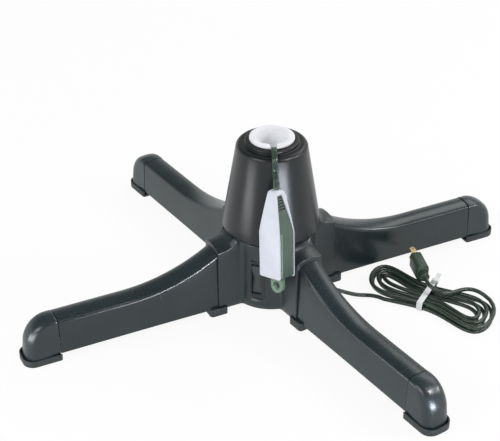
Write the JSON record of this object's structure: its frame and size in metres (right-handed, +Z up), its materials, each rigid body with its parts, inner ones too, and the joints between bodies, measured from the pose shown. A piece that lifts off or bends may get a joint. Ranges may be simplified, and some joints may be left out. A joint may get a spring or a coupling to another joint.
{
  "type": "rotating christmas tree stand",
  "caption": "Motorised floor stand with splayed legs, a conical tower, a turning pole sleeve, a rocker switch, a mains lead in a tied hank and a hanging power tap.",
  "frame": {"origin": "on the floor, on the axis of the pole sleeve", "axes": "+Z up along the pole sleeve; the wall with the rocker switch looks along -Y; +X to the right, where the mains lead leaves"},
  "size_m": [0.506, 0.4232, 0.2104],
  "materials": {
    "charcoal_shell": "semi-gloss moulded plastic, charcoal",
    "dark_plastic": "satin moulded plastic",
    "rocker_plastic": "semi-gloss moulded plastic",
    "boot_rubber": "dull moulded rubber",
    "white_plastic": "glossy moulded plastic",
    "gear_plastic": "acetal",
    "steel": "bright steel",
    "motor_steel": "zinc-coated steel",
    "bronze": "sintered bronze",
    "brass": "bright brass",
    "carbon": "pressed carbon",
    "cord_jacket": "soft dark green vinyl jacket",
    "plug_green": "moulded green vinyl",
    "tap_cord_green": "soft green vinyl twin lead",
    "tap_green": "moulded green plastic",
    "tie_white": "paper-covered tie strip"
  },
  "bodies": {
    "base": {"hub_shell": "charcoal_shell", "base_plate": "dark_plastic", "base_screws": "steel", "root_pads": "boot_rubber", "tower_shell": "charcoal_shell", "tower_screws": "steel", "leg_front_left": "charcoal_shell", "leg_front_right": "charcoal_shell", "leg_rear_right": "charcoal_shell", "leg_rear_left": "charcoal_shell", "end_cap_front_left": "charcoal_shell", "end_cap_front_right": "charcoal_shell", "end_cap_rear_right": "charcoal_shell", "end_cap_rear_left": "charcoal_shell", "boot_front_left": "boot_rubber", "boot_front_right": "boot_rubber", "boot_rear_right": "boot_rubber", "boot_rear_left": "boot_rubber", "leg_bolts": "steel", "bearing_plate": "steel", "bearing_screws": "steel", "lower_bush": "bronze", "upper_bush": "gear_plastic", "thrust_washer": "gear_plastic", "motor_can": "motor_steel", "motor_gearbox": "steel", "motor_screws": "steel", "brush_post": "dark_plastic", "brush_blocks": "carbon", "brush_springs": "bronze", "switch_bezel": "dark_plastic", "switch_body": "dark_plastic", "cord_strain_relief": "cord_jacket", "power_lead": "cord_jacket", "power_hank": "cord_jacket", "plug_tail": "cord_jacket", "plug_body": "plug_green", "plug_blades": "brass", "hank_tie": "tie_white", "tap_cord": "tap_cord_green", "tap_core": "tap_green", "tap_front_cover": "white_plastic", "tap_rear_cover": "white_plastic", "tap_contacts": "brass", "tap_screws": "steel"},
    "rotor": {"pole_sleeve": "white_plastic", "drive_gear": "gear_plastic", "sleeve_spindle": "steel", "slip_ring_carrier": "dark_plastic", "slip_ring_live": "brass", "slip_ring_neutral": "brass"},
    "pinion": {"motor_pinion": "steel"},
    "rocker": {"switch_rocker": "rocker_plastic"}
  },
  "joints": [
    {"name": "sleeve_spin", "type": "hinge", "parent": "base", "child": "rotor", "pos_m": [0, 0, 0.1], "axis": [0, 0, 1], "continuous": true, "deforming": ["tap_cord"]},
    {"name": "pinion_spin", "type": "hinge", "parent": "base", "child": "pinion", "pos_m": [0, 0.03375, 0.05], "axis": [0, 0, 1], "continuous": true},
    {"name": "switch_rock", "type": "hinge", "parent": "base", "child": "rocker", "pos_m": [-0.0049, -0.04, 0.047], "axis": [1, 0, 0], "range_deg": [-8, 0]}
  ],
  "couplings": [
    {"joint": "pinion_spin", "follows": "sleeve_spin", "ratio": -4}
  ]
}
